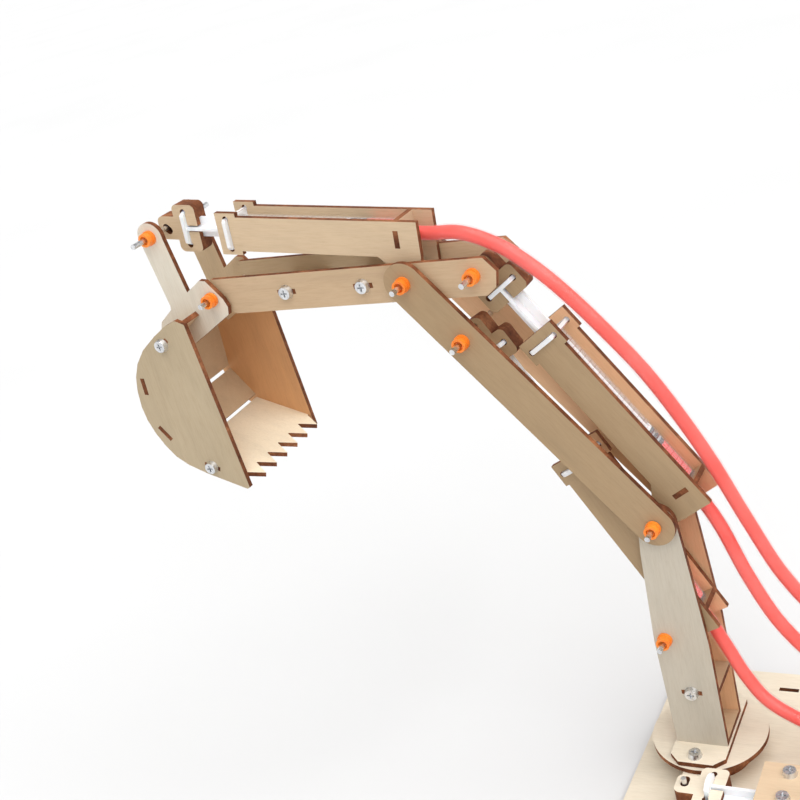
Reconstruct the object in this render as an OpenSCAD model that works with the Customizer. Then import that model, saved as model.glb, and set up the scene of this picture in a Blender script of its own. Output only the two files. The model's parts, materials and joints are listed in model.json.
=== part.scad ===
// Hydraulic arm kit: a plywood digger arm on a turntable. Four slave syringes move it.
// Four master syringes in a rack on the same board drive them through clear tubes.
// Origin: slew axis on the table top. +X runs from the turntable to the rack, +Z is up.

/* [Sheet and hardware] */
// plywood thickness
ply = 2; // [1.5:0.1:4]
// pivot pin diameter
pin_d = 2; // [1.5:0.1:3]
// radial play of a part that turns on a pin
play = 0.05; // [0.02:0.01:0.1]
// orange bush diameter
bush_d = 5.6; // [4:0.1:9]
// bush length
bush_len = 3.6; // [2:0.1:8]
// machine screw diameter
screw_d = 3; // [2:0.5:4]

/* [Board and turntable] */
// base board length
board_len = 251; // [200:1:400]
// base board width
board_wide = 110; // [90:2:200]
// board edge in front of the slew axis, towards -Y
board_front = 60; // [46:1:100]
// board edge behind the slew axis
board_back = 28; // [24:1:60]
// turntable disc diameter
disc_d = 45; // [40:1:80]
// foot plate length along X
foot_len = 21.5; // [18:0.5:40]
// foot plate width along Y
foot_wide = 42; // [34:1:60]
// height of the boom pivot above the foot plate
column_high = 100.5; // [80:0.5:140]
// column width at the foot
column_wide = 20; // [16:1:40]
// height of the boom cylinder pivot above the foot plate
column_pin_high = 49.3; // [30:0.5:70]
// boom cylinder pivot ahead of the slew axis
column_pin_x = -6; // [-9:0.5:5]

/* [Arm] */
// boom length, pivot to pivot
boom_len = 120.5; // [90:0.5:160]
// boom angle at rest from +X
boom_angle = 126.8; // [100:0.2:150]
// boom pivot to boom cylinder pin
boom_crank = 92.3; // [60:0.1:110]
// boom plate half width
boom_half = 7.6; // [6:0.1:12]
// stick length, boom pin to bucket pin
stick_len = 83.7; // [60:0.1:120]
// stick tail, boom pin to stick cylinder pin
stick_tail = 25.7; // [18:0.1:40]
// stick plate half depth
stick_half = 7; // [6:0.1:12]
// bucket lever length
lever_len = 32.3; // [24:0.1:45]
// lever angle at rest from +X
lever_angle = 125.8; // [100:0.2:150]
// bucket half width over its side plates
bucket_half = 26; // [20:0.5:40]
// number of bucket teeth
teeth = 6; // [3:1:9]

/* [Syringes] */
// barrel outside diameter
barrel_d = 10; // [9:0.1:14]
// barrel bore
bore_d = 9; // [8:0.1:13]
// barrel length, shoulder to flange
barrel_len = 67; // [50:1:90]
// plunger length, thumb disc to seal face
plunger_len = 77; // [60:1:100]
// thumb disc diameter
thumb_d = 14; // [10:0.5:20]
// axis offset from the bracket's pivot
axis_off = 13.7; // [9:0.1:20]
// tube outside diameter
tube_d = 6; // [4:0.5:8]

/* [Travel] */
// slew travel each way
slew_travel = 20; // [5:1:25]
// boom travel up
boom_up = 6; // [2:1:8]
// boom travel down
boom_down = 30; // [5:1:35]
// stick travel downwards
stick_down = 20; // [5:1:25]
// stick travel upwards, where the boom's and the stick's clevises meet
stick_up = 8; // [2:1:9]
// bucket travel each way
bucket_travel = 20; // [5:1:25]

/* [Hidden] */
$fn = 48;

// colours
wood = [0.80, 0.68, 0.50];
burnt = [0.62, 0.42, 0.26];
steel = [0.75, 0.76, 0.78];
orange = [1.0, 0.55, 0.12];
clear = [0.88, 0.89, 0.90, 0.6];
rubber = [0.25, 0.25, 0.27];
red = [0.93, 0.22, 0.18, 0.8];

// levels of the stack on the slew axis
gap = 0.3;
boss_high = 7;
board_top = ply;
crank_z = board_top + boss_high + gap;
disc_z = crank_z + ply;
foot_z = disc_z + ply;
column_z = foot_z + ply;
foot_lug_y = 17;
foot_screw_x = -1;
slew_r = 2;
slew_floor = 0.6;
slew_top = column_z + ply + gap;
boss_r = 15;

// sheet centre planes, mirrored about y = 0
sheet_gap = 1;
cyl_y = barrel_d / 2 + 0.2 + ply / 2;
inner_y = cyl_y + ply + sheet_gap;
outer_y = inner_y + ply + sheet_gap;
pin_r = pin_d / 2;
run_r = pin_r + play;
// how far a pin stands out of its bush, the M3 pan head, and the joint tabs
tip = 3.9;
head_r = 2.8;
head_high = 1.9;
tab_len = 8;

// pivots in the arm's plane, [x, z]
function polar(r, a) = [r * cos(a), r * sin(a)];
P1 = [0, column_z + column_high];
P2 = P1 + polar(boom_len, boom_angle);
P3 = P1 + polar(boom_crank, boom_angle);
P4 = P2 + [stick_tail, 0];
P5 = P2 - [stick_len, 0];
P6 = P5 + polar(lever_len, lever_angle);
P7 = [column_pin_x, column_z + column_pin_high];

// cylinder geometry: a is the bracket's pivot, b the clevis pin, h the axis offset
function reach(a, b) = sqrt(pow(norm(b - a), 2) - pow(axis_off, 2));
function aim(a, b) = atan2(b.y - a.y, b.x - a.x) + asin(axis_off / norm(b - a));
function turned(p, c, t) =
    c + [(p - c).x * cos(t) - (p - c).y * sin(t), (p - c).x * sin(t) + (p - c).y * cos(t)];
// how far the true pin has left its rest place in the clevis, seen along and across the rod,
// when the crank b about c has turned by t and the bracket and the rod follow at fixed ratios
function drift(a, c, b, t, tilt, slide) =
    let (q = turned(b, c, t), e = aim(a, b) + tilt * t, l = reach(a, b) + slide * t,
         d = [cos(e), sin(e)], n = [-sin(e), cos(e)], m = q - (a - axis_off * n + l * d))
    [m * d, m * n];
function ratio_aim(a, c, b, lo, hi) =
    (aim(a, turned(b, c, hi)) - aim(a, turned(b, c, lo))) / (hi - lo);
function ratio_reach(a, c, b, lo, hi) =
    (reach(a, turned(b, c, hi)) - reach(a, turned(b, c, lo))) / (hi - lo);
// a ratio between the whole travel's and the first 83 per cent's keeps the drift small
balance = 0.83;
boom_tilt = ratio_aim(P7, P1, P3, 0, boom_down * balance);
boom_slide = ratio_reach(P7, P1, P3, 0, boom_down * balance);
stick_tilt = ratio_aim(P1, P2, P4, -stick_up, stick_down);
stick_slide = ratio_reach(P1, P2, P4, -stick_up, stick_down);
bucket_tilt = ratio_aim(P2, P5, P6, -bucket_travel, bucket_travel);
bucket_slide = ratio_reach(P2, P5, P6, -bucket_travel, bucket_travel);
boom_reach = reach(P7, P3);
stick_reach = reach(P1, P4);
bucket_reach = reach(P2, P6);
pin_slack = 0.55;

// syringe stations along the axis, from the foot of the pivot's perpendicular
end_plate_u = 3.3;
shoulder_u = end_plate_u + ply / 2;
flange_u = shoulder_u + barrel_len + 2;
flange_t = 1.6;
wing_len = 8.7;
wing_half = 5.8;
nozzle_r = 2;
nozzle_u = end_plate_u - ply / 2 - 0.5;
plate_end_u = -5.2;
plate_head_u = flange_u + 4.5;
plate_half = 6.5;
head_half = 8;
tab_half = 3.2;
lobe_r = 5;

// clevis outline, from its pin towards the barrel
thumb_u = 9.5;
thumb_t = 1.5;
thumb_half = 4.6;
clevis_len = 15;
clevis_half = 9.3;
clevis_neck = 4.6;
clevis_foot = 4.6;
clevis_round = 2.2;
seal_len = 8;

// swing cylinder
swing_y = -34;
swing_z = crank_z + ply + 0.4 + 1.5 * ply;
swing_reach = 105.8;
swing_screw_x = [38, 92];
swing_pin_len = 11;
plate_lid = 6;
lid_half = 11;
swing_drift = -swing_y * (1 - cos(slew_travel));

// rack
rack_x = 142;
rack_z = 26;
rack_pitch = 22;
rack_half = 46;
rack_high = 38;
rack_reach = 125;
rack_rows = [1.5, 0.5, -0.5, -1.5];

// rounded bar outline from p to q; its straight sides lie just inside the circles' tangents
inset = 0.02;
module bar(p, q, r) {
    a = atan2(q.y - p.y, q.x - p.x);
    translate(p) circle(r);
    translate(q) circle(r);
    translate(p) rotate(a) translate([0, inset - r]) square([norm(q - p), 2 * (r - inset)]);
}
// sheet standing in the arm's plane, centred on y
module layer(y) translate([0, y + ply / 2, 0]) rotate([90, 0, 0]) linear_extrude(ply) children();
module pair(y) {
    layer(y) children();
    layer(-y) children();
}
// rod along Y through [x, z]
module cross_rod(p, r, y0, y1) translate([p.x, y1, p.y]) rotate([90, 0, 0]) cylinder(r = r, h = y1 - y0);
module pin_at(p, y) cross_rod(p, pin_r, -y, y);
// a flanged bush on each side, with a wider mouth round the pin
bush_flange = 1.4;
bush_neck = 0.5;
mouth_r = 1.7;
mouth_deep = 1.1;
module bush_at(p, face) for (s = [-1, 1]) translate([p.x, s * face, p.y]) rotate([-s * 90, 0, 0])
    difference() {
        union() {
            cylinder(d = bush_d, h = bush_flange);
            cylinder(d = bush_d - bush_neck, h = bush_len);
        }
        translate([0, 0, -1]) cylinder(r = pin_r, h = bush_len + 2);
        translate([0, 0, bush_len - mouth_deep]) cylinder(r = mouth_r, h = bush_len);
    }
module hole(p, r) translate(p) circle(r);
// level board between the inner sheets from x0 to x1, with a tab through each of them
module cross_board(x0, x1) {
    translate([x0, -inner_y + ply / 2, -ply / 2]) cube([x1 - x0, 2 * inner_y - ply, ply]);
    translate([-tab_len / 2, -inner_y - ply / 2, -ply / 2]) cube([tab_len, 2 * inner_y + ply, ply]);
}
// crossed-recess pan head standing on z = 0, and the same on a shank along -Z
module pan_head() difference() {
    cylinder(r1 = head_r, r2 = head_r - 0.5, h = head_high);
    for (a = [0, 90]) rotate(a)
        translate([-head_r / 2, -0.3, head_high / 2]) cube([head_r, 0.6, head_high]);
}
module pan_screw(len) {
    translate([0, 0, -len]) cylinder(d = screw_d, h = len);
    pan_head();
}
// heads on both outer faces of a pair of sheets whose outer faces are at y = face
module side_heads(p, face) for (s = [-1, 1])
    translate([p.x, s * face, p.y]) rotate([-s * 90, 0, 0]) pan_head();
// cylinder frame: pivot p, aim a; local X runs to the pin, the axis lies at z = -axis_off
module cyl_frame(p, a) translate([p.x, 0, p.y]) rotate([0, -a, 0]) children();
// the same frame moved onto the syringe's axis
module on_axis() translate([0, 0, -axis_off]) children();
module spin(r, u0, u1) translate([u0, 0, 0]) rotate([0, 90, 0]) cylinder(r = r, h = u1 - u0);

module flange_slot() {
    square([flange_t + 0.3, 12.4], center = true);
    for (s = [-1, 1]) translate([0, s * 5.7]) circle(1.15);
}
module bracket_plate() difference() {
    union() {
        translate([plate_end_u, -axis_off - plate_half])
            square([plate_head_u - 8 - plate_end_u, 2 * plate_half]);
        translate([plate_head_u - 9, -axis_off - head_half]) square([9, 2 * head_half]);
        hole([0, 0], lobe_r);
        translate([-lobe_r, -axis_off + plate_half - 0.1])
            square([2 * lobe_r, axis_off - plate_half + 0.1]);
        polygon([[lobe_r - 0.1, -1.5], [lobe_r - 0.1, -axis_off + plate_half - 0.1],
                 [lobe_r + 7, -axis_off + plate_half - 0.1]]);
    }
    hole([0, 0], run_r);
    translate([flange_u, -axis_off]) flange_slot();
    translate([end_plate_u - ply / 2, -axis_off - tab_half]) square([ply, 2 * tab_half]);
}
module bracket(p, a) color(wood) cyl_frame(p, a) pair(cyl_y) bracket_plate();
module end_plate(p, a) color(burnt) cyl_frame(p, a) on_axis() end_board(plate_half);
module end_board(half) difference() {
    translate([end_plate_u - ply / 2, 0, 0]) union() {
        translate([0, -cyl_y + ply / 2, -half]) cube([ply, 2 * cyl_y - ply, 2 * half]);
        translate([0, -cyl_y - ply / 2, -tab_half]) cube([ply, 2 * cyl_y + ply, 2 * tab_half]);
    }
    spin(nozzle_r, -5, 10);
}
// barrel with winged flange and nozzle, on the axis
module barrel() color(clear) difference() {
    union() {
        spin(barrel_d / 2, shoulder_u, flange_u);
        spin(nozzle_r, nozzle_u, shoulder_u);
        intersection() {
            spin(wing_len + 1.2, flange_u - flange_t / 2, flange_u + flange_t / 2);
            translate([0, -wing_len, -wing_half]) cube([200, 2 * wing_len, 2 * wing_half]);
        }
    }
    spin(bore_d / 2, shoulder_u + 1.2, flange_u + 5);
    spin(0.9, nozzle_u - 1, shoulder_u + 5);
}
// plunger, pin at u = l
module plunger(l) {
    thumb = l - thumb_u;
    face = thumb - plunger_len;
    color(rubber) difference() {
        spin(bore_d / 2 - 0.05, face, face + seal_len);
        difference() {
            spin(bore_d, face + 3, face + 5);
            spin(bore_d / 2 - 0.7, face + 2, face + 6);
        }
    }
    color(clear) {
        translate([face + seal_len, -0.6, -3.8]) cube([plunger_len - seal_len, 1.2, 7.6]);
        translate([face + seal_len, -3.8, -0.6]) cube([plunger_len - seal_len, 7.6, 1.2]);
        intersection() {
            spin(thumb_d / 2, thumb - thumb_t / 2, thumb + thumb_t / 2);
            translate([0, -thumb_half, -thumb_d]) cube([200, 2 * thumb_half, 2 * thumb_d]);
        }
    }
}
// clevis outline; the pin slot runs from s0 to s1, wide is the rod slot's half height
module clevis_sheet(s0, s1, wide) difference() {
    union() {
        bar([-0.8, clevis_neck - 2.6], [-0.8, 2.6 - clevis_neck], 2.6);
        translate([-0.8, -clevis_neck]) square([7, 2 * clevis_neck]);
        for (u = [clevis_foot + clevis_round, clevis_len - clevis_round])
            bar([u, clevis_half - clevis_round], [u, clevis_round - clevis_half], clevis_round);
        translate([clevis_foot + clevis_round, inset - clevis_half])
            square([clevis_len - clevis_foot - 2 * clevis_round, 2 * (clevis_half - inset)]);
    }
    bar(s0, s1, pin_r + pin_slack);
    translate([thumb_u - thumb_t / 2 - 0.05, -thumb_d / 2 - 0.2]) square([thumb_t + 0.1, thumb_d + 0.4]);
    for (k = [-1, 1]) hole([thumb_u, k * (thumb_d / 2 - 0.6)], 1.2);
    translate([thumb_u, -wide]) square([clevis_len, 2 * wide]);
}
module clevis(l, s0, s1) color(wood) translate([l, 0, 0]) mirror([1, 0, 0]) {
    layer(0) clevis_sheet(s0, s1, 3.9);
    for (y = [-ply, ply]) layer(y) clevis_sheet(s0, s1, 1.2);
}

module base_board() color(wood) difference() {
    translate([-board_back, -board_front, 0]) cube([board_len, board_wide, ply]);
    translate([0, 0, slew_floor]) cylinder(r = slew_r, h = ply);
    translate([17, 39, -1]) cube([tab_len, ply, 10]);
}
module slew_boss() color(burnt) difference() {
    translate([0, 0, board_top]) cylinder(r = boss_r, h = boss_high);
    cylinder(r = slew_r, h = 20);
}
module slew_pin() color(steel) {
    translate([0, 0, slew_floor]) cylinder(r = slew_r, h = slew_top - slew_floor);
    translate([0, 0, slew_top]) cylinder(r = 2 * slew_r, h = 1.6);
}
// hole that turns on the slew pin
module slew_hole() cylinder(r = slew_r + play, h = 60);
module swing_frame() translate([swing_reach, swing_y, swing_z]) rotate([0, 180, 0]) children();
module swing_wall() difference() {
    translate([plate_end_u, -swing_z + board_top])
        square([plate_head_u - plate_end_u, swing_z - board_top + plate_lid]);
    translate([flange_u, 0]) flange_slot();
    translate([end_plate_u - ply / 2, -tab_half]) square([ply, 2 * tab_half]);
}
module swing_bracket() color(wood) {
    translate([swing_reach, swing_y, swing_z]) mirror([1, 0, 0]) pair(cyl_y) swing_wall();
    difference() {
        translate([swing_reach - plate_head_u, swing_y - lid_half, swing_z + plate_lid])
            cube([plate_head_u - plate_end_u, 2 * lid_half, ply]);
        for (x = swing_screw_x, s = [-1, 1])
            translate([x, swing_y + s * cyl_y, swing_z]) cylinder(d = screw_d, h = 12);
    }
}
module swing_end_plate() color(burnt) swing_frame() end_board(plate_lid - 0.1);
module swing_barrel() swing_frame() barrel();
module swing_screws() color(steel)
    for (x = swing_screw_x, s = [-1, 1])
        translate([x, swing_y + s * cyl_y, swing_z + plate_lid + ply]) pan_screw(ply);
module rack_board(u, r) color(wood) difference() {
    translate([rack_x + u, -rack_half, board_top]) cube([ply, 2 * rack_half, rack_high]);
    for (k = rack_rows) translate([rack_x, k * rack_pitch, rack_z]) spin(r, u - 1, u + ply + 1);
}
module rack_front() rack_board(end_plate_u - ply / 2, nozzle_r);
module rack_rear() {
    rack_board(flange_u - flange_t / 2 - ply, barrel_d / 2);
    rack_board(flange_u + flange_t / 2, bore_d / 2);
}
module rack_sides() color(wood) for (s = [-1, 1])
    translate([rack_x + shoulder_u, s * (rack_half - 3) - ply / 2, board_top])
        cube([flange_u - flange_t / 2 - ply - shoulder_u, ply, rack_high - 6]);
module rack_barrels() for (k = rack_rows) translate([rack_x, k * rack_pitch, rack_z]) barrel();
module master(k, l) translate([rack_x, rack_rows[k] * rack_pitch, rack_z]) plunger(l);

module turn_disc() color(wood) difference() {
    translate([0, 0, disc_z]) cylinder(d = disc_d, h = ply, $fn = 96);
    slew_hole();
    for (s = [-1, 1]) translate([foot_screw_x, s * foot_lug_y, 0]) cylinder(d = screw_d, h = 60);
}
module turn_crank() color(wood) difference() {
    translate([0, 0, crank_z]) union() {
        cylinder(r = 20, h = ply);
        translate([-5, swing_y, 0]) cube([10, -swing_y, ply]);
        translate([0, swing_y, 0]) cylinder(r = 5, h = ply);
    }
    slew_hole();
    translate([0, swing_y, 0]) cylinder(r = pin_r, h = 60);
    for (s = [-1, 1]) translate([foot_screw_x, s * foot_lug_y, 0]) cylinder(d = screw_d, h = 60);
}
module foot_plate() color(wood) difference() {
    translate([0, 0, foot_z]) linear_extrude(ply) polygon([
        for (m = [[1, 1], [-1, 1], [-1, -1], [1, -1]], k = [0, 1])
            let (c = (m.x * m.y > 0) ? k : 1 - k)
            [m.x * (foot_len / 2 - (c ? 4 : 0)), m.y * (foot_wide / 2 - (c ? 0 : 4))]]);
    slew_hole();
    for (s = [-1, 1]) {
        translate([foot_screw_x, s * foot_lug_y, 0]) cylinder(d = screw_d, h = 60);
        translate([-tab_len / 2, s * inner_y - ply / 2, 0]) cube([tab_len, ply, 60]);
    }
}
cross_high = 24.9;
module column_plates() color(wood) pair(inner_y) difference() {
    union() {
        polygon([[-column_wide / 2, column_z], [column_wide / 2, column_z],
                 [column_wide / 2 + 0.3, column_z + 48], [8, P1.y - 14], [7, P1.y],
                 [-7, P1.y], [-8.5, P1.y - 14], [-column_wide / 2 - 0.5, column_z + 48]]);
        hole(P1, 7);
        translate([-tab_len / 2, foot_z]) square([tab_len, ply + 1]);
    }
    hole(P1, pin_r);
    hole(P7, pin_r);
    translate([0, column_z + cross_high]) square([tab_len, ply], center = true);
}
module column_panels() color(burnt) {
    x0 = -column_wide / 2 + 0.4;
    translate([0, 0, column_z + cross_high]) cross_board(x0, column_wide / 2);
    difference() {
        translate([x0, -inner_y + ply / 2, column_z]) cube([column_wide - 0.4, 2 * inner_y - ply, ply]);
        slew_hole();
    }
}
module column_screws() color(steel) {
    for (s = [-1, 1]) translate([foot_screw_x, s * foot_lug_y, column_z]) pan_screw(3 * ply);
    side_heads([0, column_z + cross_high], inner_y + ply / 2);
}
module column_pins() color(steel) {
    pin_at(P1, outer_y + ply / 2 + gap + bush_len + tip);
    pin_at(P7, inner_y + ply / 2 + bush_len + tip);
    translate([0, swing_y, crank_z]) cylinder(r = pin_r, h = swing_pin_len);
}
module column_bushes() color(orange) {
    bush_at(P1, outer_y + ply / 2 + gap);
    bush_at(P7, inner_y + ply / 2);
}

module boom_plates() color(wood) pair(outer_y) difference() {
    bar(P1, P2, boom_half);
    hole(P1, run_r);
    hole(P2, pin_r);
    hole(P3, pin_r);
}
module boom_pins() color(steel) {
    pin_at(P2, outer_y + ply / 2 + bush_len + tip + 1);
    pin_at(P3, outer_y + ply / 2 + bush_len + tip + 1);
}
module boom_bushes() color(orange) for (p = [P2, P3]) bush_at(p, outer_y + ply / 2);

// cross panels of the stick, from the boom pin
stick_panel_x = [-18.3, -51.5];
stick_panel_z = -0.6;
module stick_plates() color(wood) pair(inner_y) difference() {
    union() {
        polygon([P5 + [-0.5, stick_half - 0.5], P4 + [5, stick_half - 1], P4 + [9, 1], P4 + [7.6, -4.6],
                 P4 + [3.5, -stick_half - 0.5], P5 + [6.5, -stick_half - 0.6], P5 + [-2, -4]]);
        hole(P5, 5);
    }
    hole(P2, run_r);
    hole(P4, pin_r);
    hole(P5, pin_r);
    for (x = stick_panel_x) translate(P2 + [x, stick_panel_z]) square([tab_len, ply], center = true);
}
module stick_panels() color(burnt) for (x = stick_panel_x)
    translate([P2.x + x, 0, P2.y + stick_panel_z]) cross_board(-tab_len, tab_len);
module stick_screws() color(steel)
    for (x = stick_panel_x) side_heads(P2 + [x, stick_panel_z], inner_y + ply / 2);
module stick_pins() color(steel) {
    pin_at(P4, inner_y + ply / 2 + bush_len + tip + 2);
    pin_at(P5, outer_y + ply / 2 + gap + bush_len + tip);
}
module stick_bushes() color(orange) {
    bush_at(P4, inner_y + ply / 2);
    bush_at(P5, outer_y + ply / 2 + gap);
}

// bucket outline points, from the bucket pin
side_outline = [[-9.8, -2.6], [-6, -4.4], [-3, -74.8], [-4.4, -75.4], [-21.4, -68.6], [-29.5, -64.6],
    [-34.3, -60.8], [-37.6, -56], [-40.4, -50], [-42, -44], [-42.3, -38], [-41.2, -31], [-39.2, -25],
    [-35.8, -19.4], [-30.4, -13.8], [-22.2, -8.3], [-15.5, -4.6]];
// panels: centre-line ends from the bucket pin, and where along them the side tabs sit
panel_ends = [[[-9.8, -5.4], [-33.8, -21.2]], [[-36.3, -23.8], [-38.2, -44]],
              [[-37.6, -46.8], [-29.5, -58.9]], [[-28.5, -61.3], [-5.2, -70.1]]];
panel_tabs = [0.42, 0.27, 0.27, 0.46];
panel_tab = 7.2;
// the part of panel k between distances u0 and u1 from its start
module panel_line(k, u0, u1, thick) {
    a = P5 + panel_ends[k][0];
    b = P5 + panel_ends[k][1];
    translate(a) rotate(atan2(b.y - a.y, b.x - a.x))
        translate([u0, -thick / 2]) square([u1 - u0, thick]);
}
panel_more = 0.4;
function panel_len(k) = norm(panel_ends[k][1] - panel_ends[k][0]);
module panel_tab_line(k) {
    u = panel_len(k) * panel_tabs[k];
    panel_line(k, u - panel_tab / 2, u + panel_tab / 2, ply);
}
module bucket_sides() color(wood) pair(bucket_half - ply / 2) difference() {
    polygon([for (q = side_outline) P5 + q]);
    for (k = [0:3]) panel_tab_line(k);
}
module across(y) translate([0, y, 0]) rotate([90, 0, 0]) linear_extrude(2 * y) children();
module bucket_panel(k) {
    across(bucket_half - ply) panel_line(k, -panel_more, panel_len(k) + panel_more, ply);
    across(bucket_half) panel_tab_line(k);
}
lever_notch = 14.3;
module bucket_panels() color(burnt) difference() {
    for (k = [0:2]) bucket_panel(k);
    for (s = [-1, 1]) layer(s * outer_y) panel_line(0, -6, lever_notch, 3 * ply);
}
// a saw edge of pointed teeth
tooth_len = 7.2;
tooth_edge = 0.4;
tooth_pitch = 2 * (bucket_half - ply - tooth_edge) / teeth;
tooth_start = -bucket_half + ply + tooth_edge;
module bucket_lip() color(wood) {
    bucket_panel(3);
    a = P5 + panel_ends[3][1];
    d = panel_ends[3][1] - panel_ends[3][0];
    saw = [for (k = [0:teeth - 1], q = [[0, 0], [tooth_len, 0.5]])
        [q.x, tooth_start + (k + q.y) * tooth_pitch]];
    translate([a.x, 0, a.y]) rotate([0, -atan2(d.y, d.x), 0]) translate([0, 0, -ply / 2])
        linear_extrude(ply)
            polygon(concat([[-1, -tooth_start], [-1, tooth_start]], saw, [[0, -tooth_start]]));
}
lever_outline = [[-24.4, 25.6], [-21.3, -1.5], [-21.8, -3.2], [-28.6, -7.9], [-30.6, -12.2],
    [-28.6, -15.9], [-22.3, -11.8], [-17.8, -18.7], [-7.3, -13.2], [5, -6.7], [5.9, -3.6],
    [4.9, -0.4], [-0.6, 7.2], [-3.4, 7.6], [-10.8, 3.4], [-13.6, 27.6]];
module levers() color(wood) pair(outer_y) difference() {
    union() {
        polygon([for (q = lever_outline) P5 + q]);
        hole(P6, 5.6);
    }
    hole(P6, pin_r);
    hole(P5, run_r);
}
module bucket_screws() color(steel) for (k = [0, 3])
    side_heads(P5 + panel_ends[k][0] + (panel_ends[k][1] - panel_ends[k][0]) * panel_tabs[k],
               bucket_half);
module lever_pin() color(steel) pin_at(P6, outer_y + ply / 2 + bush_len + tip + 2.5);
module lever_bushes() color(orange) bush_at(P6, outer_y + ply / 2);

module on_cyl(p, a) cyl_frame(p, a) on_axis() children();
function flip(v) = [-v.x, v.y];
boom_drift = drift(P7, P1, P3, boom_down * balance / 2, boom_tilt, boom_slide);
boom_drift_end = drift(P7, P1, P3, boom_down, boom_tilt, boom_slide);
stick_drift = drift(P1, P2, P4, stick_down, stick_tilt, stick_slide);
bucket_drift = drift(P2, P5, P6, bucket_travel, bucket_tilt, bucket_slide);
module boom_clevis() on_cyl(P7, aim(P7, P3)) clevis(boom_reach, flip(boom_drift), flip(boom_drift_end));
module stick_clevis() on_cyl(P1, aim(P1, P4)) clevis(stick_reach, [0, 0], flip(stick_drift));
module bucket_clevis() on_cyl(P2, aim(P2, P6)) clevis(bucket_reach, [0, 0], flip(bucket_drift));
module swing_clevis() swing_frame() rotate([90, 0, 0])
    clevis(swing_reach, [0, 0], [0, -swing_drift]);

// swept tube: rings of eight sides along a route of points
function unit(v) = v / norm(v);
function tangent(r, i) = unit(r[min(i + 1, len(r) - 1)] - r[max(i - 1, 0)]);
module sweep(route, r) {
    n = 8;
    rings = [for (i = [0:len(route) - 1])
        let (t = tangent(route, i), s = unit(cross(t, [0.1, 1, 0.05])), w = cross(s, t))
        for (k = [0:n - 1]) route[i] + r * (cos(k * 360 / n) * s + sin(k * 360 / n) * w)];
    last = (len(route) - 1) * n;
    polyhedron(points = rings, faces = concat(
        [[for (k = [0:n - 1]) k]], [[for (k = [n - 1:-1:0]) last + k]],
        [for (i = [0:len(route) - 2], k = [0:n - 1])
            [i * n + k, (i + 1) * n + k, (i + 1) * n + (k + 1) % n, i * n + (k + 1) % n]]));
}
// a point u along a cylinder's axis
function axis_point(p, b, u) =
    let (a = aim(p, b), q = p + axis_off * [sin(a), -cos(a)] + u * [cos(a), sin(a)]) [q.x, 0, q.y];
tube_r = tube_d / 2;
nozzle_gap = nozzle_u - 0.2;
function rack_port(k, back) = [rack_x + nozzle_u - 0.2 - back, rack_rows[k] * rack_pitch, rack_z];
route_bucket = [axis_point(P2, P6, nozzle_gap), axis_point(P2, P6, nozzle_gap - 8),
    [-50, -4, 225.5], [-37, -4, 219.5], [-26, -4, 210.5], [-16, -4, 199.5], [-6, -4, 186.5],
    [4, -3, 171], [13, -2, 153], [21, -1, 134], [29, 1, 110], [38, 3, 86], [50, 8, 64], [66, 16, 47],
    [86, 24, 35], [108, 31, 28], rack_port(0, 10), rack_port(0, 0)];
route_stick = [axis_point(P1, P4, nozzle_gap), axis_point(P1, P4, nozzle_gap - 8), [20, -1, 108],
    [27, -2, 88], [36, -2, 68], [49, 0, 50], [66, 4, 37], [87, 8, 29], [109, 10, 26],
    rack_port(1, 10), rack_port(1, 0)];
route_boom = [axis_point(P7, P3, nozzle_gap), axis_point(P7, P3, nozzle_gap - 8), [14, -1, 55],
    [19, -2, 44], [27, -4, 34], [41, -6, 27], [59, -8, 22], [79, -10, 20], [103, -11, 22],
    rack_port(2, 10), rack_port(2, 0)];
route_swing = [[swing_reach - nozzle_u + 0.2, swing_y, swing_z],
    [swing_reach + 5, swing_y, swing_z + 0.4], [swing_reach + 13, swing_y + 0.2, swing_z + 2.6],
    [swing_reach + 21, swing_y + 0.5, swing_z + 6.6], [swing_reach + 29, swing_y + 0.8, 25],
    rack_port(3, 4), rack_port(3, 0)];

base_board();
slew_boss();
slew_pin();
swing_bracket();
swing_end_plate();
swing_barrel();
swing_screws();
rack_front();
rack_rear();
rack_sides();
rack_barrels();
color(red) sweep(route_bucket, tube_r);  // tube_bucket
color(red) sweep(route_stick, tube_r);  // tube_stick
color(red) sweep(route_boom, tube_r);  // tube_boom
color(red) sweep(route_swing, tube_r);  // tube_swing
turn_disc();
turn_crank();
foot_plate();
column_plates();
column_panels();
column_screws();
column_pins();
column_bushes();
boom_plates();
boom_pins();
boom_bushes();
stick_plates();
stick_panels();
stick_screws();
stick_pins();
stick_bushes();
bucket_sides();
bucket_panels();
bucket_lip();
levers();
bucket_screws();
lever_pin();
lever_bushes();
bracket(P7, aim(P7, P3));  // boom_bracket
end_plate(P7, aim(P7, P3));  // boom_end_plate
on_cyl(P7, aim(P7, P3)) barrel();  // boom_barrel
bracket(P1, aim(P1, P4));  // stick_bracket
end_plate(P1, aim(P1, P4));  // stick_end_plate
on_cyl(P1, aim(P1, P4)) barrel();  // stick_barrel
bracket(P2, aim(P2, P6));  // bucket_bracket
end_plate(P2, aim(P2, P6));  // bucket_end_plate
on_cyl(P2, aim(P2, P6)) barrel();  // bucket_barrel
on_cyl(P7, aim(P7, P3)) plunger(boom_reach);  // boom_plunger
boom_clevis();
on_cyl(P1, aim(P1, P4)) plunger(stick_reach);  // stick_plunger
stick_clevis();
on_cyl(P2, aim(P2, P6)) plunger(bucket_reach);  // bucket_plunger
bucket_clevis();
swing_frame() plunger(swing_reach);  // swing_plunger
swing_clevis();
master(2, rack_reach + 8);  // master_boom
master(1, rack_reach);  // master_stick
master(0, rack_reach);  // master_bucket
master(3, rack_reach);  // master_swing
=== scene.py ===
"""Looks of the hydraulic arm kit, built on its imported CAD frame. Metres, in the row frame.

Order: camera, tubes, water columns, materials of the CAD nodes, floor and light.
"""

import json
import math

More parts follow.
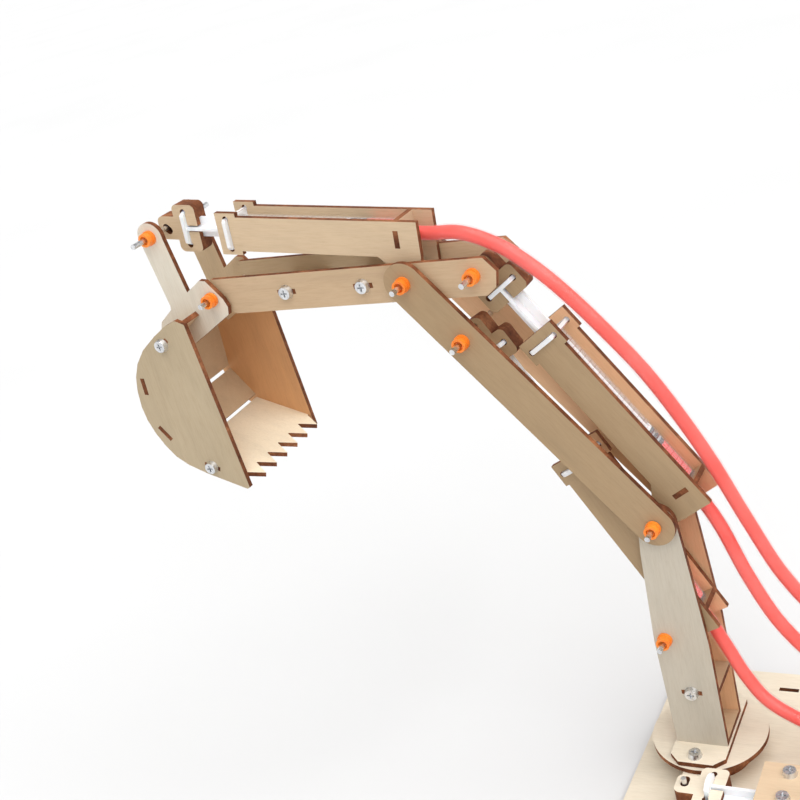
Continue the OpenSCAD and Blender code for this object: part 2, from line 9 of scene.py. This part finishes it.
import bmesh
import bpy
from mathutils import Matrix, Vector


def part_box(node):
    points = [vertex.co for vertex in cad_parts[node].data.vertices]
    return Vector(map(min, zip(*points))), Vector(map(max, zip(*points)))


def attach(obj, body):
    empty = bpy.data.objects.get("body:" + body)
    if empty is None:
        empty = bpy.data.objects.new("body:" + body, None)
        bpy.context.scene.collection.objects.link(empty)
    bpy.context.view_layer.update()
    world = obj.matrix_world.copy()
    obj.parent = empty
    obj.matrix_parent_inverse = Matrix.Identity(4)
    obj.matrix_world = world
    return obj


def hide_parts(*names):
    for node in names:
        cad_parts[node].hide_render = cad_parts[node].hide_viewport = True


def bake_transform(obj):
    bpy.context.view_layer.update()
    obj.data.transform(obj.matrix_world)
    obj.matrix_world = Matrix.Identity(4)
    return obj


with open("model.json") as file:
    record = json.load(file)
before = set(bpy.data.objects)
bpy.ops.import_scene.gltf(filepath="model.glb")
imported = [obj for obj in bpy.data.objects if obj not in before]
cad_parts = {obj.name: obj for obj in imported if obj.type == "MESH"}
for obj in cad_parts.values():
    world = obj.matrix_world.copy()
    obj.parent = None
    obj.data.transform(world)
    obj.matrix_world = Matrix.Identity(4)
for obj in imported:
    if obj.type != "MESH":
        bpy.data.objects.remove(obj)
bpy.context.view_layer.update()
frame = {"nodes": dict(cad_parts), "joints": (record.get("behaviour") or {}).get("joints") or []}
MM = 0.001
JOINTS = {j["name"]: j for j in frame["joints"]}
NODES = frame["nodes"]


# ---------------------------------------------------------------- camera
# azimuth, elevation and roll in degrees, place in metres, lens in millimetres: a compromise between
# the best fit to known points and a small shift
CAMERA_TURN = (31.0, 24.32, 15.03)
CAMERA_PLACE = (0.1444, -0.3460, 0.3386)
CAMERA_LENS = 54.45
CAMERA_SHIFT = (-0.1, 0.0125)


def make_camera():
    """A camera with its own roll; the picture is cropped from a larger one, hence the small shift."""
    azimuth, elevation, roll = (math.radians(x) for x in CAMERA_TURN)
    right = Vector((math.cos(azimuth), math.sin(azimuth), 0))
    back = Vector((math.sin(azimuth) * math.cos(elevation),
                   -math.cos(azimuth) * math.cos(elevation), math.sin(elevation)))
    up = back.cross(right)
    across = math.cos(roll) * right - math.sin(roll) * up
    upward = math.sin(roll) * right + math.cos(roll) * up
    data = bpy.data.cameras.new("camera")
    data.sensor_width = 36
    data.lens = CAMERA_LENS
    data.shift_x, data.shift_y = CAMERA_SHIFT
    data.clip_start, data.clip_end = 0.01, 20
    camera = bpy.data.objects.new("camera", data)
    turn = Matrix((across, upward, back)).transposed().to_4x4()
    camera.matrix_world = Matrix.Translation(CAMERA_PLACE) @ turn
    bpy.context.scene.collection.objects.link(camera)
    bpy.context.scene.camera = camera


make_camera()


# ---------------------------------------------------------------- materials
def new_material(name, **sockets):
    """(material, nodes, links, shader) with the shader's sockets set to constants."""
    material = bpy.data.materials.new(name)
    material.use_nodes = True
    nodes, links = material.node_tree.nodes, material.node_tree.links
    shader = nodes["Principled BSDF"]
    for socket, value in sockets.items():
        shader.inputs[socket.replace("_", " ")].default_value = value
    return material, nodes, links, shader


def add(nodes, kind, **settings):
    node = nodes.new("ShaderNode" + kind)
    for key, value in settings.items():
        if hasattr(node, key):
            setattr(node, key, value)
        else:
            node.inputs[key.replace("_", " ")].default_value = value
    return node


def place_nodes(nodes, links, scale, turn=0.0):
    """Object coordinates turned about Y, then scaled: the grain runs along the turned X."""
    coordinates = add(nodes, "TexCoord")
    turned = add(nodes, "VectorRotate", rotation_type="Y_AXIS", Angle=turn)
    scaled = add(nodes, "VectorMath", operation="MULTIPLY")
    scaled.inputs[1].default_value = scale
    links.new(coordinates.outputs["Object"], turned.inputs["Vector"])
    links.new(turned.outputs["Vector"], scaled.inputs[0])
    return scaled.outputs["Vector"]


def noise(nodes, links, vector, scale, detail=3.0, roughness=0.5):
    made = add(nodes, "TexNoise", Scale=scale, Detail=detail, Roughness=roughness)
    links.new(vector, made.inputs["Vector"])
    return made.outputs["Fac"]


def ramp(nodes, links, value, stops):
    made = add(nodes, "ValToRGB")
    band = made.color_ramp
    band.elements[0].position, band.elements[0].color = stops[0][0], (*stops[0][1], 1)
    band.elements[1].position, band.elements[1].color = stops[-1][0], (*stops[-1][1], 1)
    for at, colour in stops[1:-1]:
        band.elements.new(at).color = (*colour, 1)
    links.new(value, made.inputs["Fac"])
    return made.outputs["Color"]


def mix(nodes, links, share, a, b, blend="MIX"):
    made = add(nodes, "Mix", data_type="RGBA", blend_type=blend)
    if isinstance(share, float):
        made.inputs["Factor"].default_value = share
    else:
        links.new(share, made.inputs["Factor"])
    links.new(a, made.inputs[6])
    links.new(b, made.inputs[7])
    return made.outputs[2]


def bump(nodes, links, shader, height, strength, distance=0.0003):
    made = add(nodes, "Bump", Strength=strength, Distance=distance)
    links.new(height, made.inputs["Height"])
    links.new(made.outputs["Normal"], shader.inputs["Normal"])


def shades(tone, *factors):
    """The tone times each (position, factor), as stops of a ramp."""
    return [(at, tuple(min(1.0, c * k) for c in tone)) for at, k in factors]


def ply_face(name, turn, tone):
    """Birch face veneer: long soft grain, fine fibres, a few darker streaks and slow tone changes."""
    material, nodes, links, shader = new_material(name, Roughness=0.62, Specular_IOR_Level=0.3)
    grain = noise(nodes, links, place_nodes(nodes, links, (26, 150, 150), turn), 1.0, 6, 0.6)
    fibre = noise(nodes, links, place_nodes(nodes, links, (160, 2400, 2400), turn), 1.0, 4, 0.7)
    slow = noise(nodes, links, place_nodes(nodes, links, (14, 22, 22), turn), 1.0, 2)
    colour = ramp(nodes, links, grain, shades(tone, (0.30, 0.93), (0.46, 1.0), (0.58, 1.04), (0.75, 0.96)))
    shade = ramp(nodes, links, slow, [(0.3, (0.92, 0.905, 0.88)), (0.7, (1.0, 1.0, 1.0))])
    fibres = ramp(nodes, links, fibre, [(0.25, (0.86, 0.82, 0.77)), (0.55, (1.0, 1.0, 1.0))])
    colour = mix(nodes, links, 1.0, colour, shade, "MULTIPLY")
    colour = mix(nodes, links, 0.7, colour, fibres, "MULTIPLY")
    links.new(colour, shader.inputs["Base Color"])
    bump(nodes, links, shader, fibre, 0.25, 0.0001)
    return material


def ply_edge(name):
    """Laser-cut edge: scorched red-brown in uneven bands, lighter where the beam was quick."""
    material, nodes, links, shader = new_material(name, Roughness=0.75, Specular_IOR_Level=0.15)
    scorch = noise(nodes, links, place_nodes(nodes, links, (90, 90, 90)), 1.0, 5, 0.65)
    lines = noise(nodes, links, place_nodes(nodes, links, (900, 900, 900)), 1.0, 2)
    tone = ramp(nodes, links, scorch, [(0.32, (0.085, 0.028, 0.013)), (0.50, (0.175, 0.060, 0.026)),
                                       (0.68, (0.330, 0.135, 0.060))])
    fleck = ramp(nodes, links, lines, [(0.35, (0.72, 0.70, 0.68)), (0.65, (1.15, 1.10, 1.05))])
    links.new(mix(nodes, links, 0.8, tone, fleck, "MULTIPLY"), shader.inputs["Base Color"])
    bump(nodes, links, shader, lines, 0.3, 0.0001)
    return material


def plain_plastic(name, colour, deep, rough, **sockets):
    """Moulded plastic with a faint uneven tone and a fine skin."""
    material, nodes, links, shader = new_material(name, Roughness=rough, **sockets)
    cloud = noise(nodes, links, place_nodes(nodes, links, (120, 120, 120)), 1.0, 3)
    links.new(ramp(nodes, links, cloud, [(0.3, deep), (0.7, colour)]), shader.inputs["Base Color"])
    skin = noise(nodes, links, place_nodes(nodes, links, (1500, 1500, 1500)), 1.0, 2)
    bump(nodes, links, shader, skin, 0.08, 0.00005)
    return material


def bright_steel(name):
    """Zinc-plated steel: brushed tone and roughness."""
    material, nodes, links, shader = new_material(name, Metallic=1.0)
    brushed = noise(nodes, links, place_nodes(nodes, links, (700, 700, 120)), 1.0, 4)
    links.new(ramp(nodes, links, brushed, [(0.3, (0.56, 0.57, 0.59)), (0.7, (0.84, 0.85, 0.86))]),
              shader.inputs["Base Color"])
    links.new(ramp(nodes, links, brushed, [(0.3, (0.22,) * 3), (0.7, (0.38,) * 3)]),
              shader.inputs["Roughness"])
    return material


def along_axis(nodes, links, origin, direction):
    """Distance along a cylinder's axis from its origin, in metres."""
    coordinates = add(nodes, "TexCoord")
    moved = add(nodes, "VectorMath", operation="SUBTRACT")
    moved.inputs[1].default_value = origin
    dot = add(nodes, "VectorMath", operation="DOT_PRODUCT")
    dot.inputs[1].default_value = direction
    links.new(coordinates.outputs["Object"], moved.inputs[0])
    links.new(moved.outputs["Vector"], dot.inputs[0])
    return dot.outputs["Value"]


def math_node(nodes, links, operation, value, other):
    made = add(nodes, "Math", operation=operation)
    links.new(value, made.inputs[0])
    made.inputs[1].default_value = other
    return made.outputs[0]


# ---------------------------------------------------------------- cylinders
class Cylinder:
    """A syringe: its axis from the barrel's own zero station towards the plunger's thumb disc."""

    def __init__(self, barrel, plunger, plunger_node, barrel_node, origin, direction):
        self.barrel, self.plunger = barrel, plunger
        self.plunger_node, self.barrel_node = plunger_node, barrel_node
        self.origin, self.direction = Vector(origin), Vector(direction).normalized()
        spots = [(v.co - self.origin).dot(self.direction) for v in NODES[plunger_node].data.vertices]
        self.face = min(spots)

    def at(self, u):
        return self.origin + self.direction * u


# from a bracket's pivot to its syringe's axis, then stations and sizes on that axis
AXIS_OFF = 13.7 * MM
SHOULDER = 5.5 * MM
FLANGE = 72.4 * MM
BORE_R = 4.42 * MM
SEAL_LEN = 8.0 * MM
TICK_PITCH, TICK_WIDE = 2.5 * MM, 0.3 * MM
RACK_X, RACK_Z, RACK_PITCH = 142 * MM, 26 * MM, 22 * MM
ROWS = {"bucket": 1.5, "stick": 0.5, "boom": -0.5, "swing": -1.5}
SWING = Vector((105.8, -34, 14.2)) * MM


def arm_cylinder(name):
    pivot = Vector(JOINTS[name + "_cylinder_tilt"]["pos_m"])
    d = Vector(JOINTS[name + "_rod_slide"]["axis"])
    foot = pivot + AXIS_OFF * Vector((d.z, 0, -d.x))
    return Cylinder(name + "_cylinder", name + "_rod", name + "_plunger", name + "_barrel", foot, d)


CYLINDERS = {name: arm_cylinder(name) for name in ("boom", "stick", "bucket")}
CYLINDERS["swing"] = Cylinder("base", "swing_rod", "swing_plunger", "swing_barrel", SWING, (-1, 0, 0))
MASTERS = {name: Cylinder("base", f"master_{name}_rod", f"master_{name}", "rack_barrels",
                          (RACK_X, row * RACK_PITCH, RACK_Z), (1, 0, 0))
           for name, row in ROWS.items()}


# ---------------------------------------------------------------- tubes
TUBE_R, WATER_R = 3.0 * MM, 2.45 * MM
WALL_CLEAR = 0.05 * MM
NOZZLE_GAP = 1.6 * MM
NOZZLE_RUN = 8 * MM
PORT_RUN, SWING_PORT_RUN = 10 * MM, 4 * MM
SIDES = 20
SHARP_ANGLE = math.radians(45)


def mm(*points):
    return [Vector(p) * MM for p in points]


def rack_port(name, back):
    return Vector((RACK_X + NOZZLE_GAP - back, ROWS[name] * RACK_PITCH, RACK_Z))


ROUTES = {
    "bucket": mm((-50, -4, 225.5), (-37, -4, 219.5), (-26, -4, 210.5), (-16, -4, 199.5),
                 (-6, -4, 186.5), (4, -3, 171), (13, -2, 153), (21, -1, 134), (29, 1, 110),
                 (38, 3, 86), (50, 8, 64), (66, 16, 47), (86, 24, 35), (108, 31, 28)),
    "stick": mm((20, -1, 108), (27, -2, 88), (36, -2, 68), (49, 0, 50), (66, 4, 37),
                (87, 8, 29), (109, 10, 26)),
    "boom": mm((14, -1, 55), (19, -2, 44), (27, -4, 34), (41, -6, 27), (59, -8, 22),
               (79, -10, 20), (103, -11, 22)),
    "swing": [SWING + Vector(p) * MM for p in
              ((5, 0, 0.4), (13, 0.2, 2.6), (21, 0.5, 6.6), (29, 0.8, 10.8))],
}
# the bodies that each tube passes on its way to the rack, and the numbers of the route's points,
# nozzle points included, at which it is handed from one to the next
HANDOVERS = {
    "bucket": (["bucket_cylinder", "stick", "boom", "turntable", "base"], [4, 7, 11]),
    "stick": (["stick_cylinder", "boom", "turntable", "base"], [3, 6]),
    "boom": (["boom_cylinder", "turntable", "base"], [4]),
    "swing": (["base"], []),
}


def route(name):
    cylinder = CYLINDERS[name]
    ends = [cylinder.at(NOZZLE_GAP)]
    if name != "swing":
        ends.append(cylinder.at(NOZZLE_GAP - NOZZLE_RUN))
    last = [rack_port(name, SWING_PORT_RUN if name == "swing" else PORT_RUN), rack_port(name, 0)]
    return ends + ROUTES[name] + last


def smooth_line(points, steps=6):
    """Catmull-Rom line through the points, and the index on it of each of them."""
    p = [2 * points[0] - points[1], *points, 2 * points[-1] - points[-2]]
    line = []
    for i in range(1, len(p) - 2):
        a, b, c, d = p[i - 1:i + 3]
        for k in range(steps):
            t = k / steps
            line.append(0.5 * (2 * b + (c - a) * t + (2 * a - 5 * b + 4 * c - d) * t * t
                               + (3 * b - a - 3 * c + d) * t ** 3))
    line.append(points[-1])
    return line, [i * steps for i in range(len(points))]


def ring_frames(line):
    """A centre, side and up vector at each point, carried along the line without twist."""
    frames, side = [], None
    for i, here in enumerate(line):
        ahead = (line[min(i + 1, len(line) - 1)] - line[max(i - 1, 0)]).normalized()
        if side is None:
            side = ahead.cross(Vector((0, 1, 0))).normalized()
        side = (side - ahead * side.dot(ahead)).normalized()
        frames.append((here, side, ahead.cross(side)))
    return frames


def new_object(name, bm, smooth=True):
    mesh = bpy.data.meshes.new(name)
    bmesh.ops.recalc_face_normals(bm, faces=bm.faces)
    bm.to_mesh(mesh)
    bm.free()
    for polygon in mesh.polygons:
        polygon.use_smooth = smooth
    if smooth:
        mesh.set_sharp_from_angle(angle=SHARP_ANGLE)
    made = bpy.data.objects.new(name, mesh)
    bpy.context.scene.collection.objects.link(made)
    return made


def swept(name, frames, radii, inner=None):
    """A tube through the frames; with inner radii it is hollow, otherwise its ends are capped."""
    bm = bmesh.new()

    def skin(sizes):
        rings = []
        for (centre, side, up), r in zip(frames, sizes):
            rings.append([bm.verts.new(centre + r * (math.cos(a) * side + math.sin(a) * up))
                          for a in (2 * math.pi * k / SIDES for k in range(SIDES))])
        for low, high in zip(rings, rings[1:]):
            for k in range(SIDES):
                n = (k + 1) % SIDES
                bm.faces.new((low[k], low[n], high[n], high[k]))
        return rings

    outer = skin(radii)
    if inner is None:
        bm.faces.new(outer[0][::-1])
        bm.faces.new(outer[-1])
    else:
        bore = skin(inner)
        for o, b in ((outer[0], bore[0]), (outer[-1], bore[-1])):
            for k in range(SIDES):
                n = (k + 1) % SIDES
                bm.faces.new((o[k], o[n], b[n], b[k]))
    return new_object(name, bm)


tube_wall, nodes, links, shader = new_material("tube_wall", Roughness=0.22, Alpha=0.11, Coat_Weight=1.0,
                                               Coat_Roughness=0.08, IOR=1.5)
links.new(ramp(nodes, links, noise(nodes, links, place_nodes(nodes, links, (70, 70, 70)), 1.0, 3),
               [(0.3, (1.0, 0.42, 0.38)), (0.7, (1.0, 0.60, 0.56))]), shader.inputs["Base Color"])
water, nodes, links, shader = new_material("red_water", Roughness=0.3, IOR=1.33)
links.new(ramp(nodes, links, noise(nodes, links, place_nodes(nodes, links, (45, 45, 45)), 1.0, 2),
               [(0.3, (0.82, 0.026, 0.014)), (0.7, (0.90, 0.052, 0.032))]), shader.inputs["Base Color"])


def make_tube(name):
    line, marks = smooth_line(route(name))
    bodies, cuts = HANDOVERS[name]
    stops = [0, *[marks[c] for c in cuts], len(line) - 1]
    spans = list(zip(stops, stops[1:]))
    frames = ring_frames(line)
    pairs = list(zip(bodies, bodies[1:])) or [("base", None)]
    for k, ((first, last), (a, b)) in enumerate(zip(spans, pairs)):
        part = frames[first:last + 1]
        bore = [WATER_R + WALL_CLEAR] * len(part)
        wall = swept(f"{name}_tube_{k + 1}", part, [TUBE_R] * len(part), bore)
        core = swept(f"{name}_tube_water_{k + 1}", part, [WATER_R] * len(part))
        for piece, material in ((wall, tube_wall), (core, water)):
            piece.data.materials.append(material)
            if b is None:
                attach(piece, a)
            else:
                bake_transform(piece)
        if k == 0:
            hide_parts("tube_" + name)


for tube in ROUTES:
    make_tube(tube)


# ---------------------------------------------------------------- water in the syringes
COLUMN_STEPS = 8
COLUMN_CLEAR = 0.02 * MM


def water_column(name, cylinder):
    """Red water from the barrel's shoulder to the plunger's seal."""
    run = cylinder.face - SHOULDER
    stations = [SHOULDER + run * k / COLUMN_STEPS for k in range(COLUMN_STEPS + 1)]
    d = cylinder.direction
    side = Vector((0, 1, 0))
    frames = [(cylinder.at(u), side, d.cross(side)) for u in stations]
    column = swept(name, frames, [BORE_R - COLUMN_CLEAR] * len(frames))
    column.data.materials.append(water)
    cylinder.at(SHOULDER)
    cylinder.at(cylinder.face)
    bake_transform(column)


for name, cylinder in CYLINDERS.items():
    water_column(name + "_water", cylinder)
for name, cylinder in MASTERS.items():
    water_column(f"master_{name}_water", cylinder)


# ---------------------------------------------------------------- syringe materials
def barrel_material(name, cylinder):
    """Clear milky plastic with fine measuring lines along its upper side."""
    material, nodes, links, shader = new_material(name, Roughness=0.2, IOR=1.45, Coat_Weight=0.5,
                                                  Coat_Roughness=0.1)
    d = cylinder.direction
    u = along_axis(nodes, links, cylinder.origin, d)
    phase = math_node(nodes, links, "MODULO", math_node(nodes, links, "ADD", u, 1.0), TICK_PITCH)
    line = math_node(nodes, links, "LESS_THAN", phase, TICK_WIDE)
    normal = add(nodes, "VectorMath", operation="DOT_PRODUCT")
    links.new(add(nodes, "TexCoord").outputs["Normal"], normal.inputs[0])
    normal.inputs[1].default_value = Vector((-d.z, 0, d.x)) * (1 if d.x > 0 else -1)
    upper = math_node(nodes, links, "GREATER_THAN", normal.outputs["Value"], 0.55)
    mark = add(nodes, "Math", operation="MULTIPLY")
    links.new(line, mark.inputs[0])
    links.new(upper, mark.inputs[1])
    links.new(ramp(nodes, links, mark.outputs[0], [(0.4, (0.94, 0.95, 0.96)), (0.6, (0.55, 0.26, 0.26))]),
              shader.inputs["Base Color"])
    body = ramp(nodes, links, mark.outputs[0], [(0.4, (0.13,) * 3), (0.6, (0.24,) * 3)])
    flange = ramp(nodes, links, math_node(nodes, links, "GREATER_THAN", u, FLANGE),
                  [(0.4, (0.0,) * 3), (0.6, (0.72,) * 3)])
    links.new(mix(nodes, links, 1.0, body, flange, "LIGHTEN"), shader.inputs["Alpha"])
    return material


def plunger_material(name, cylinder):
    """White moulded rod with a dark rubber seal at its end; the seal's ribs are not modelled, and its pale
    bands between the dark ones are painted light that draws their relief.
    """
    material, nodes, links, shader = new_material(name, Roughness=0.34, Subsurface_Weight=0.15)
    u = along_axis(nodes, links, cylinder.at(cylinder.face), cylinder.direction)
    dark, pale, white = (0.030, 0.032, 0.036), (0.42, 0.43, 0.45), (0.88, 0.88, 0.89)
    # the pale bands in the seal are painted light on ribs that are not modelled; the rubber itself is the
    # dark tone
    bands = ramp(nodes, links, math_node(nodes, links, "DIVIDE", u, SEAL_LEN),
                 [(0.0, dark), (0.20, pale), (0.31, dark), (0.51, pale), (0.62, dark), (0.82, white)])
    bands.node.color_ramp.interpolation = "CONSTANT"
    links.new(bands, shader.inputs["Base Color"])
    return material


def dress(node, material):
    data = NODES[node].data
    data.materials.clear()
    data.materials.append(material)


for name, cylinder in CYLINDERS.items():
    dress(cylinder.barrel_node, barrel_material(name + "_barrel_plastic", cylinder))
    dress(cylinder.plunger_node, plunger_material(name + "_plunger_plastic", cylinder))
dress("rack_barrels", barrel_material("rack_barrel_plastic", MASTERS["boom"]))
for name, cylinder in MASTERS.items():
    dress(cylinder.plunger_node, plunger_material(f"master_{name}_plastic", cylinder))

# ---------------------------------------------------------------- plywood, steel and bushes
edge = ply_edge("ply_edge")
bush_plastic = plain_plastic("bush_orange", (1.0, 0.27, 0.025), (0.88, 0.17, 0.010), 0.38,
                             Subsurface_Weight=0.1)
steel = bright_steel("zinc_steel")


def sheet_faces(data):
    """True for each polygon that lies on a sheet's broad face, and False for a cut edge.
    A solid's broad faces point along the direction in which it has most area."""
    corners = {}
    parent = list(range(len(data.vertices)))

    def root(i):
        while parent[i] != i:
            parent[i] = parent[parent[i]]
            i = parent[i]
        return i

    for v in data.vertices:
        key = tuple(round(x, 6) for x in v.co)
        parent[root(v.index)] = root(corners.setdefault(key, v.index))
    for polygon in data.polygons:
        for v in polygon.vertices:
            parent[root(v)] = root(polygon.vertices[0])
    areas = {}
    for polygon in data.polygons:
        n = polygon.normal
        first = next((x for x in n if abs(x) > 0.05), 1.0)
        key = tuple(round(math.copysign(1, first) * x, 2) for x in n)
        solid = areas.setdefault(root(polygon.vertices[0]), {})
        solid[key] = solid.get(key, 0.0) + polygon.area
    broad = {s: Vector(max(keys, key=keys.get)).normalized() for s, keys in areas.items()}
    return [abs(p.normal.dot(broad[root(p.vertices[0])])) > 0.9 for p in data.polygons]


def dress_ply(node, face, inner, broad=None):
    """face on the sheets' outer sides, inner on the sides that look at the arm's middle plane."""
    data = NODES[node].data
    data.materials.clear()
    for material in (face, edge, inner):
        data.materials.append(material)
    for polygon, is_face in zip(data.polygons, broad or sheet_faces(data)):
        inward = abs(polygon.normal.y) > 0.9 and polygon.normal.y * polygon.center.y < 0
        polygon.material_index = (2 if inward else 0) if is_face else 1


def tilt_of(name):
    """The angle that turns a cylinder's direction onto X, for the grain."""
    d = CYLINDERS[name].direction
    return math.atan2(d.z, d.x)


BOOM_TURN = math.atan2(JOINTS["stick_swing"]["pos_m"][2] - JOINTS["boom_lift"]["pos_m"][2],
                       JOINTS["stick_swing"]["pos_m"][0] - JOINTS["boom_lift"]["pos_m"][0])
# linear colours of the sheets' faces, matched to the photo's under this scene's light. They differ partly
# as the veneers differ and partly as painted light: the levers' white tone is lighter with painted light
# from the left, and the boom's deep tone is darker with painted shade
TONES = {"pale": (0.75, 0.67, 0.54), "plain": (0.45, 0.36, 0.24), "warm": (0.53, 0.38, 0.24),
         "deep": (0.385, 0.27, 0.156), "light": (0.61, 0.465, 0.312), "grey": (0.51, 0.46, 0.38),
         "white": (0.67, 0.62, 0.525), "cream": (0.86, 0.74, 0.56), "tan_bounce_light": (0.66, 0.51, 0.33),
         "rust_bounce_light": (0.66, 0.36, 0.17), "clay_bounce_light": (0.80, 0.51, 0.30)}
LEVEL, UPRIGHT = 0.0, math.pi / 2
PLY = [
    ("level", LEVEL, "pale", None, ["base_board", "turn_disc", "turn_crank", "foot_plate", "swing_clevis"]),
    ("lip", LEVEL, "cream", None, ["bucket_lip"]),
    ("rack", LEVEL, "light", None, ["slew_boss", "swing_bracket", "swing_end_plate", "rack_front",
                                    "rack_rear", "rack_sides"]),
    ("stick", LEVEL, "warm", "tan_bounce_light", ["stick_plates", "stick_panels", "bucket_panels", "column_panels"]),
    ("column", UPRIGHT, "grey", "clay_bounce_light", ["column_plates"]),
    ("lever", UPRIGHT, "white", "tan_bounce_light", ["levers"]),
    ("bucket", UPRIGHT, "plain", "rust_bounce_light", ["bucket_sides"]),
    ("boom", BOOM_TURN, "deep", "clay_bounce_light", ["boom_plates"]),
]
# the third column is the inner tone: where it differs from the face's, it is painted warm bounce light
CYLINDER_TONES = (("boom", "deep", "clay_bounce_light"), ("stick", "deep", "clay_bounce_light"), ("bucket", "light", "light"))
for name, tone, inner in CYLINDER_TONES:
    PLY.append((name + "_cylinder", tilt_of(name), tone, inner,
                [f"{name}_bracket", f"{name}_end_plate", f"{name}_clevis"]))
# the swing bracket is one solid, and its faces above this height belong to the lid
LID_DEPTH = 2.1 * MM
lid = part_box("swing_bracket")[1].z - LID_DEPTH
for name, turn, tone, inner_bounce_light_tone, members in PLY:
    face = ply_face("ply_" + name, turn, TONES[tone])
    # where the inner tone differs from the face's, the inner sides get a warmer, mostly lighter copy of the
    # veneer: painted warm bounce light on the sides that look at the arm's middle plane
    inner = ply_face(f"ply_{name}_inner", turn, TONES[inner_bounce_light_tone]) if inner_bounce_light_tone else face
    for node in members:
        broad = None
        if node == "swing_bracket":
            broad = [abs(p.normal.z if p.center.z > lid else p.normal.y) > 0.9
                     for p in NODES[node].data.polygons]
        paired = node.endswith(("plates", "bracket", "sides", "levers"))
        dress_ply(node, face, inner if paired else face, broad)
for node in NODES:
    if node.endswith("_bushes"):
        dress(node, bush_plastic)
    elif node.endswith(("_pins", "_pin", "_screws")):
        dress(node, steel)

# ---------------------------------------------------------------- floor and light
FLOOR_HALF = 14.0
FLOOR_DROP = 0.0005
bm = bmesh.new()
bmesh.ops.create_grid(bm, x_segments=8, y_segments=8, size=FLOOR_HALF)
floor = new_object("floor", bm, smooth=False)
floor.location.z = -FLOOR_DROP
paper, nodes, links, shader = new_material("floor_paper", Roughness=0.9, Specular_IOR_Level=0.0)
links.new(ramp(nodes, links, noise(nodes, links, place_nodes(nodes, links, (3, 3, 3)), 1.0, 2),
               [(0.3, (0.665, 0.665, 0.665)), (0.7, (0.685, 0.685, 0.685))]), shader.inputs["Base Color"])
floor.data.materials.append(paper)


def softbox(name, place, target, size, power):
    data = bpy.data.lights.new(name, "AREA")
    data.shape, data.size, data.energy = "SQUARE", size, power
    lamp = bpy.data.objects.new(name, data)
    lamp.location = place
    lamp.rotation_mode = "QUATERNION"
    lamp.rotation_quaternion = (Vector(target) - Vector(place)).to_track_quat("-Z", "Y")
    bpy.context.scene.collection.objects.link(lamp)


SUN_POWER, SUN_SPREAD = 3.3, math.radians(75)
SUN_RAY = Vector((-0.42, 0.20, -1))
softbox("front", place=(0.5, -1.3, 0.9), target=(-0.05, 0, 0.14), size=0.9, power=1.6)
sun = bpy.data.objects.new("sun", bpy.data.lights.new("sun", "SUN"))
sun.data.energy, sun.data.angle = SUN_POWER, SUN_SPREAD
sun.rotation_mode = "QUATERNION"
sun.rotation_quaternion = SUN_RAY.to_track_quat("-Z", "Y")
bpy.context.scene.collection.objects.link(sun)
# bright below and at the horizon, so that the floor meets white; dimmer overhead
world = bpy.data.worlds.new("studio")
world.use_nodes = True
nodes, links = world.node_tree.nodes, world.node_tree.links
split = add(nodes, "SeparateXYZ")
links.new(add(nodes, "TexCoord").outputs["Generated"], split.inputs[0])
sky = ramp(nodes, links, split.outputs["Z"], [(0.32, (1.0, 1.0, 1.0)), (0.55, (0.42, 0.42, 0.42))])
links.new(sky, nodes["Background"].inputs[0])
nodes["Background"].inputs[1].default_value = 1.0
bpy.context.scene.world = world
bpy.context.scene.view_settings.view_transform = "Standard"
